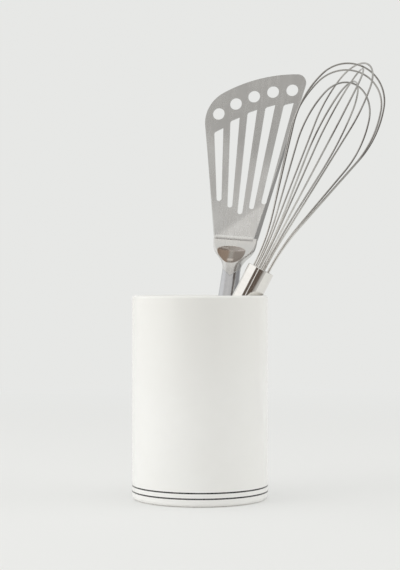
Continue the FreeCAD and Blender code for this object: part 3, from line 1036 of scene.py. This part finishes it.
class Tone(Enum):
    """Tones of the room that polished steel mirrors."""

    WALL_LOW = (0.74, 0.735, 0.725)
    WALL_MIDDLE = (0.60, 0.60, 0.59)
    WALL_HIGH = (0.96, 0.935, 0.90)
    BROWN = (0.125, 0.098, 0.082)
    SLATE = (0.45, 0.445, 0.44)
    DUSK = (0.27, 0.262, 0.258)
    NEAR_DARK = (0.36, 0.345, 0.33)
    NEAR_LIGHT = (0.52, 0.51, 0.495)
    WINDOW = (1.06, 1.055, 1.045)


@dataclass(frozen=True)
class Card:
    """Card of one even tone that only polished surfaces mirror, given by its corners in order."""

    name: str
    tone: Tone
    corners: tuple[Point, Point, Point, Point]

    def build(self) -> None:
        """Stands the card in the room."""
        data = bpy.data.meshes.new(self.name)
        data.from_pydata(self.corners, [], [(0, 1, 2, 3)])
        material, sheet = blank_material(self.name)
        glow = sheet.feed(sheet.add("Emission"), Color=opaque(self.tone.value))
        sheet.feed(sheet.add("OutputMaterial"), Surface=glow.outputs[0])
        data.materials.append(material)
        card = place_object(self.name, data)
        card.visible_camera = False
        card.visible_diffuse = False
        card.visible_shadow = False


def upright(name: str, tone: Tone, first: tuple[float, float], second: tuple[float, float],
            heights: tuple[float, float]) -> Card:
    """Makes an upright card.

    Args:
        name: the card's name.
        tone: its tone.
        first: X and Y of one side.
        second: X and Y of the other side.
        heights: its foot and its top.

    Returns:
        The card.
    """
    foot, top = heights
    return Card(name, tone, ((*first, foot), (*second, foot), (*second, top), (*first, top)))


def lying(name: str, tone: Tone, *corners: tuple[float, float]) -> Card:
    """Makes a card that lies just above the floor, from the X and Y of its corners."""
    return Card(name, tone, tuple((*corner, CARD_LIFT) for corner in corners))


@dataclass(frozen=True)
class Lamp:
    """Soft rectangular lamp that no polished surface mirrors."""

    name: str
    place: Point
    size: tuple[float, float]
    power: float
    aim: Point = (0.0, 0.0, 0.16)

    def build(self) -> None:
        """Hangs the lamp."""
        light = bpy.data.lights.new(self.name, "AREA")
        light.shape = "RECTANGLE"
        light.size, light.size_y = self.size
        light.energy = self.power
        holder = place_object(self.name, light)
        holder.location = self.place
        holder.rotation_euler = (Vector(self.aim) - Vector(self.place)).to_track_quat("-Z", "Y").to_euler()
        holder.visible_glossy = False


@dataclass
class Studio:
    """Pale floor, soft lamps, the room that steel mirrors, and the camera."""

    floor_radius: float = 6.0
    floor_sides: int = 96
    floor_sink: float = 0.0001
    floor_colour: Colour = (0.83, 0.83, 0.815)
    floor_roughness: float = 0.6
    fade_range: tuple[float, float] = (0.3, 1.1)
    fade_near: float = 0.45
    backdrop: Colour = (0.80, 0.805, 0.79)
    ambient: float = 0.735
    cards: tuple[Card, ...] = (
        upright("wall_low", Tone.WALL_LOW, (-1.9, -2.05), (2.0, -2.05), (0.45, 0.98)),
        upright("wall_middle", Tone.WALL_MIDDLE, (-1.9, -2.05), (2.0, -2.05), (0.98, 1.25)),
        upright("wall_high", Tone.WALL_HIGH, (-1.9, -2.05), (2.0, -2.05), (1.25, 2.3)),
        upright("wall_foot", Tone.BROWN, (-1.0, -2.05), (1.6, -2.05), (0.0, 0.45)),
        lying("far_floor", Tone.BROWN, (-1.2, -0.83), (-1.6, -2.0), (1.6, -2.0), (1.3, -0.83)),
        lying("near_floor_dark", Tone.NEAR_DARK, (0.2, -0.83), (0.5, -0.83), (0.45, -0.55), (0.2, -0.55)),
        lying("near_floor_light", Tone.NEAR_LIGHT, (0.2, -0.55), (0.45, -0.55), (0.45, -0.33), (0.2, -0.33)),
        Card("left_shade", Tone.BROWN,
             ((-0.66, -1.8, 0.1), (-0.66, -1.8, 0.58), (-1.62, -1.8, 1.1), (-1.62, -1.8, 0.2))),
        upright("slit", Tone.WINDOW, (-0.64, -1.75), (-0.50, -1.75), (0.2, 0.8)),
        upright("left_pane", Tone.WINDOW, (-1.04, -1.08), (-1.5, 0.0), (0.08, 1.42)),
        upright("back_pane", Tone.WINDOW, (-1.5, 0.0), (-1.115, 1.0), (0.08, 1.42)),
        upright("dark_panel", Tone.BROWN, (-0.36, -2.0), (1.1, -2.0), (0.75, 1.5)),
        lying("right_floor", Tone.DUSK, (0.45, -0.8), (1.15, -1.1), (1.15, 0.6), (0.45, 0.4)),
        upright("right_shade", Tone.SLATE, (1.15, -1.1), (1.15, 0.6), (0.0, 1.3)),
    )
    lamps: tuple[Lamp, ...] = (
        Lamp("left_window", (-1.38, -0.59, 0.70), (1.27, 1.3), 9.0),
        Lamp("left_back", (-1.38, 0.50, 0.86), (1.2, 0.45), 2.8),
        Lamp("right_fill", (1.49, -0.13, 0.7), (1.6, 1.7), 9.0),
        Lamp("overhead", (0.0, -0.2, 1.8), (1.6, 1.6), 6.6, aim=(0.0, 0.0, 0.0)),
    )
    eye: Point = (0.0, -1.05, 0.1502)
    focal_pixels: float = 1487.0
    image_height: int = 570
    sensor: float = 36.0
    clip_end: float = 50.0

    def build(self) -> None:
        """Builds the whole set."""
        self.build_world()
        self.build_floor()
        for fitting in (*self.cards, *self.lamps):
            fitting.build()
        self.build_camera()

    def build_world(self) -> None:
        """Makes a pale surround that also gives the soft fill."""
        world = bpy.data.worlds.new("pale_room")
        bpy.context.scene.world = world
        world.use_nodes = True
        sheet = NodeSheet(world.node_tree)
        shade = sheet.feed(sheet.add("Background"), Color=opaque(self.backdrop),
                           Strength=sheet.ramp(sheet.seen(), 0.0, 1.0, self.ambient, 1.0))
        sheet.feed(sheet.add("OutputWorld"), Surface=shade.outputs[0])

    def build_floor(self) -> None:
        """Lays a plain floor that fades into the surround far away."""
        form = bmesh.new()
        bmesh.ops.create_circle(form, cap_ends=True, segments=self.floor_sides, radius=self.floor_radius)
        data = bpy.data.meshes.new("floor")
        form.to_mesh(data)
        form.free()
        floor = place_object("floor", data)
        floor.location.z = -self.floor_sink
        material, sheet = blank_material("pale_floor")
        matt = sheet.feed(sheet.add("BsdfPrincipled"), Base_Color=opaque(self.floor_colour),
                          Roughness=self.floor_roughness)
        glow = sheet.feed(sheet.add("Emission"), Color=opaque(self.backdrop))
        far = sheet.ramp(sheet.length(sheet.place()), *self.fade_range, self.fade_near, 1.0)
        mixed = sheet.add("MixShader")
        for index, item in enumerate((sheet.times(far, sheet.seen()), matt.outputs[0], glow.outputs[0])):
            sheet.put(item, mixed.inputs[index])
        sheet.feed(sheet.add("OutputMaterial"), Surface=mixed.outputs[0])
        data.materials.append(material)

    def build_camera(self) -> None:
        """Sets a level camera, fitted to the photograph."""
        data = bpy.data.cameras.new("camera")
        data.sensor_width = self.sensor
        data.lens = self.focal_pixels / self.image_height * self.sensor
        data.clip_end = self.clip_end
        camera = place_object("camera", data)
        camera.location = self.eye
        camera.rotation_euler = (math.pi / 2, 0, 0)
        bpy.context.scene.camera = camera


def main() -> None:
    """Builds and dresses each sub-assembly, then the set."""
    logging.basicConfig(level=logging.INFO, format="%(name)s: %(message)s")
    bpy.context.scene.view_settings.view_transform = "Standard"
    effects = Effects()
    for assembly in (Crock(effects), Whisk(effects), Turner(effects)):
        assembly.build()
        assembly.dress()
    Studio().build()


if __name__ == "__main__":
    main()
